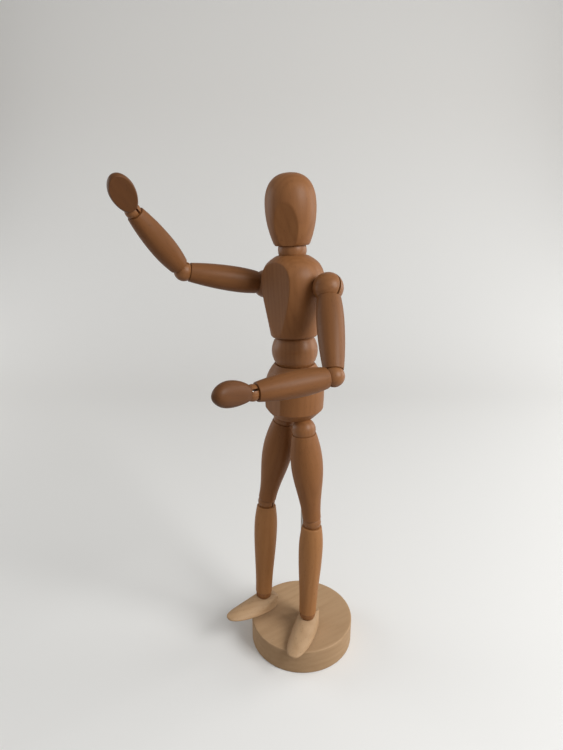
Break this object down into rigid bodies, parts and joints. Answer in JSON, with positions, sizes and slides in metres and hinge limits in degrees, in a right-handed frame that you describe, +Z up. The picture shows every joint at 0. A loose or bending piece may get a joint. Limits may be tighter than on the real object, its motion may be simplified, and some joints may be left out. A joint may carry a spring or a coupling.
{
  "type": "wooden artist mannequin",
  "caption": "Jointed wooden artist's figure on a round base, with ball joints from neck to ankle and wrist that turn and bend and hold the pose they are put in.",
  "frame": {"origin": "centre of the base's underside, on the floor", "axes": "+Z up, -Y towards the viewer of the picture, +X to the viewer's right"},
  "size_m": [0.1425, 0.1311, 0.33],
  "materials": {
    "figure_wood": "thin satin varnish over pale warm hardwood",
    "pale_wood": "sanded hardwood, almost raw",
    "steel": "drawn wire"
  },
  "bodies": {
    "base": {"base": "pale_wood", "rod": "steel"},
    "pelvis": {"pelvis": "figure_wood", "pelvis_springs": "steel"},
    "waist_ball": {"waist_ball": "figure_wood", "waist_staple": "steel"},
    "chest_hook": {"chest_hook": "steel"},
    "chest": {"chest": "figure_wood", "chest_springs": "steel"},
    "neck_ball": {"neck_ball": "figure_wood", "neck_staple": "steel"},
    "head": {"head": "figure_wood"},
    "left_shoulder_ball": {"left_shoulder_ball": "figure_wood", "left_shoulder_staple": "steel"},
    "left_elbow_ball": {"left_elbow_ball": "figure_wood", "left_elbow_staple": "steel"},
    "left_wrist_ball": {"left_wrist_ball": "figure_wood", "left_wrist_staple": "steel"},
    "left_hip_ball": {"left_hip_ball": "figure_wood", "left_hip_staple": "steel"},
    "left_knee_ball": {"left_knee_ball": "figure_wood", "left_knee_staple": "steel"},
    "left_ankle_ball": {"left_ankle_ball": "figure_wood", "left_ankle_staple": "steel"},
    "left_upper_arm": {"left_upper_arm": "figure_wood", "left_upper_arm_spring": "steel"},
    "left_forearm": {"left_forearm": "figure_wood", "left_forearm_spring": "steel"},
    "left_thigh": {"left_thigh": "figure_wood", "left_thigh_spring": "steel"},
    "left_shin": {"left_shin": "figure_wood", "left_shin_spring": "steel"},
    "left_hand_hook": {"left_hand_hook": "steel"},
    "left_hand": {"left_hand": "figure_wood"},
    "left_foot_hook": {"left_foot_hook": "steel"},
    "left_foot": {"left_foot": "pale_wood"},
    "right_shoulder_ball": {"right_shoulder_ball": "figure_wood", "right_shoulder_staple": "steel"},
    "right_elbow_ball": {"right_elbow_ball": "figure_wood", "right_elbow_staple": "steel"},
    "right_wrist_ball": {"right_wrist_ball": "figure_wood", "right_wrist_staple": "steel"},
    "right_hip_ball": {"right_hip_ball": "figure_wood", "right_hip_staple": "steel"},
    "right_knee_ball": {"right_knee_ball": "figure_wood", "right_knee_staple": "steel"},
    "right_ankle_ball": {"right_ankle_ball": "figure_wood", "right_ankle_staple": "steel"},
    "right_upper_arm": {"right_upper_arm": "figure_wood", "right_upper_arm_spring": "steel"},
    "right_forearm": {"right_forearm": "figure_wood", "right_forearm_spring": "steel"},
    "right_thigh": {"right_thigh": "figure_wood", "right_thigh_spring": "steel"},
    "right_shin": {"right_shin": "figure_wood", "right_shin_spring": "steel"},
    "right_hand_hook": {"right_hand_hook": "steel"},
    "right_hand": {"right_hand": "figure_wood"},
    "right_foot_hook": {"right_foot_hook": "steel"},
    "right_foot": {"right_foot": "pale_wood"}
  },
  "joints": [
    {"name": "pelvis_turn", "type": "hinge", "parent": "base", "child": "pelvis", "pos_m": [0, 0, 0.1762], "axis": [0, 0, 1], "continuous": true},
    {"name": "waist_turn", "type": "hinge", "parent": "pelvis", "child": "waist_ball", "pos_m": [-0.0068, -0.00422, 0.226], "axis": [0, 0, -1], "range_deg": [-180, 180]},
    {"name": "waist_lean", "type": "hinge", "parent": "waist_ball", "child": "chest_hook", "pos_m": [-0.0068, -0.00422, 0.226], "axis": [0.95, 0.3123, 0], "range_deg": [-50, 12]},
    {"name": "chest_turn", "type": "hinge", "parent": "chest_hook", "child": "chest", "pos_m": [-0.0068, -0.00422, 0.226], "axis": [-0.0305, 0.0927, 0.9952], "range_deg": [-180, 180]},
    {"name": "neck_nod", "type": "hinge", "parent": "chest", "child": "neck_ball", "pos_m": [-0.00865, 0.0014, 0.28631], "axis": [-0.6691, 0.7378, -0.0892], "range_deg": [-27, 26]},
    {"name": "head_turn", "type": "hinge", "parent": "neck_ball", "child": "head", "pos_m": [-0.00865, 0.0014, 0.28631], "axis": [-0.0447, 0.0798, 0.9958], "range_deg": [-180, 180]},
    {"name": "left_shoulder_turn", "type": "hinge", "parent": "chest", "child": "left_shoulder_ball", "pos_m": [0.0116, -0.0195, 0.26758], "axis": [0.6691, -0.7378, 0.0892], "range_deg": [-180, 180]},
    {"name": "left_shoulder_bend", "type": "hinge", "parent": "left_shoulder_ball", "child": "left_upper_arm", "pos_m": [0.0116, -0.0195, 0.26758], "axis": [-0.6941, -0.5774, 0.43], "range_deg": [-24, 155]},
    {"name": "left_elbow_turn", "type": "hinge", "parent": "left_upper_arm", "child": "left_elbow_ball", "pos_m": [0.01324, -0.05276, 0.22557], "axis": [-0.0306, 0.6204, 0.7837], "range_deg": [-80, 180]},
    {"name": "left_elbow_bend", "type": "hinge", "parent": "left_elbow_ball", "child": "left_forearm", "pos_m": [0.01324, -0.05276, 0.22557], "axis": [-0.3683, 0.7219, -0.5859], "range_deg": [-145, 0]},
    {"name": "left_wrist_turn", "type": "hinge", "parent": "left_forearm", "child": "left_wrist_ball", "pos_m": [-0.02976, -0.07539, 0.22471], "axis": [-0.8848, -0.4657, -0.0176], "range_deg": [-180, 180]},
    {"name": "left_wrist_bend", "type": "hinge", "parent": "left_wrist_ball", "child": "left_hand_hook", "pos_m": [-0.02976, -0.07539, 0.22471], "axis": [-0.2989, 0.538, 0.7882], "range_deg": [-73, 34]},
    {"name": "left_hand_turn", "type": "hinge", "parent": "left_hand_hook", "child": "left_hand", "pos_m": [-0.02976, -0.07539, 0.22471], "axis": [0.7046, 0.6814, -0.1979], "range_deg": [-180, 180]},
    {"name": "left_hip_turn", "type": "hinge", "parent": "pelvis", "child": "left_hip_ball", "pos_m": [-0.0009, -0.01373, 0.1762], "axis": [0, 0, -1], "range_deg": [-11, 83]},
    {"name": "left_hip_bend", "type": "hinge", "parent": "left_hip_ball", "child": "left_thigh", "pos_m": [-0.0009, -0.01373, 0.1762], "axis": [-0.0819, -0.9966, 0], "range_deg": [-7, 63]},
    {"name": "left_knee_turn", "type": "hinge", "parent": "left_thigh", "child": "left_knee_ball", "pos_m": [0.00551, -0.01426, 0.1082], "axis": [0.0938, -0.0077, -0.9956], "range_deg": [-180, 29]},
    {"name": "left_knee_bend", "type": "hinge", "parent": "left_knee_ball", "child": "left_shin", "pos_m": [0.00551, -0.01426, 0.1082], "axis": [0.0031, -1, 0.008], "range_deg": [-16, 4]},
    {"name": "left_ankle_turn", "type": "hinge", "parent": "left_shin", "child": "left_ankle_ball", "pos_m": [0.00351, -0.01487, 0.03283], "axis": [-0.0265, -0.0081, -0.9996], "range_deg": [-107, 83]},
    {"name": "left_ankle_bend", "type": "hinge", "parent": "left_ankle_ball", "child": "left_foot_hook", "pos_m": [0.00351, -0.01487, 0.03283], "axis": [0.2919, -0.9564, 0], "range_deg": [-4, 1]},
    {"name": "left_foot_turn", "type": "hinge", "parent": "left_foot_hook", "child": "left_foot", "pos_m": [0.00351, -0.01487, 0.03283], "axis": [-0.0002, 0, 1], "range_deg": [-83, 170]},
    {"name": "right_shoulder_turn", "type": "hinge", "parent": "chest", "child": "right_shoulder_ball", "pos_m": [-0.02493, 0.02078, 0.26271], "axis": [0.6691, -0.7378, 0.0892], "range_deg": [-180, 110]},
    {"name": "right_shoulder_bend", "type": "hinge", "parent": "right_shoulder_ball", "child": "right_upper_arm", "pos_m": [-0.02493, 0.02078, 0.26271], "axis": [-0.1259, -0.2308, -0.9648], "range_deg": [-20, 159]},
    {"name": "right_elbow_turn", "type": "hinge", "parent": "right_upper_arm", "child": "right_elbow_ball", "pos_m": [-0.0743, 0.00287, 0.27343], "axis": [-0.921, -0.3341, 0.2001], "range_deg": [-180, 180]},
    {"name": "right_elbow_bend", "type": "hinge", "parent": "right_elbow_ball", "child": "right_forearm", "pos_m": [-0.0743, 0.00287, 0.27343], "axis": [0.222, -0.8725, -0.4353], "range_deg": [-28, 115]},
    {"name": "right_wrist_turn", "type": "hinge", "parent": "right_forearm", "child": "right_wrist_ball", "pos_m": [-0.09613, -0.02083, 0.3098], "axis": [0.4493, 0.4877, -0.7485], "range_deg": [-180, 180]},
    {"name": "right_wrist_bend", "type": "hinge", "parent": "right_wrist_ball", "child": "right_hand_hook", "pos_m": [-0.09613, -0.02083, 0.3098], "axis": [0.4292, 0.6169, 0.6597], "range_deg": [-73, 34]},
    {"name": "right_hand_turn", "type": "hinge", "parent": "right_hand_hook", "child": "right_hand", "pos_m": [-0.09613, -0.02083, 0.3098], "axis": [0.1651, 0.6645, -0.7288], "range_deg": [-180, 180]},
    {"name": "right_hip_turn", "type": "hinge", "parent": "pelvis", "child": "right_hip_ball", "pos_m": [-0.0127, 0.0053, 0.1762], "axis": [0, 0, -1], "range_deg": [-59, 116]},
    {"name": "right_hip_bend", "type": "hinge", "parent": "right_hip_ball", "child": "right_thigh", "pos_m": [-0.0127, 0.0053, 0.1762], "axis": [0.3371, 0.9415, 0], "range_deg": [-4, 57]},
    {"name": "right_knee_turn", "type": "hinge", "parent": "right_thigh", "child": "right_knee_ball", "pos_m": [-0.02574, 0.00997, 0.10932], "axis": [-0.1909, 0.0684, -0.9792], "range_deg": [-180, 180]},
    {"name": "right_knee_bend", "type": "hinge", "parent": "right_knee_ball", "child": "right_shin", "pos_m": [-0.02574, 0.00997, 0.10932], "axis": [0.6412, 0.764, -0.0717], "range_deg": [-10, 64]},
    {"name": "right_ankle_turn", "type": "hinge", "parent": "right_shin", "child": "right_ankle_ball", "pos_m": [-0.02827, 0.00504, 0.03412], "axis": [-0.0336, -0.0654, -0.9973], "range_deg": [-86, 180]},
    {"name": "right_ankle_bend", "type": "hinge", "parent": "right_ankle_ball", "child": "right_foot_hook", "pos_m": [-0.02827, 0.00504, 0.03412], "axis": [-0.4583, 0.8878, -0.0428], "range_deg": [-19, 1]},
    {"name": "right_foot_turn", "type": "hinge", "parent": "right_foot_hook", "child": "right_foot", "pos_m": [-0.02827, 0.00504, 0.03412], "axis": [0.1461, 0.1228, 0.9816], "range_deg": [-110, 92]}
  ]
}
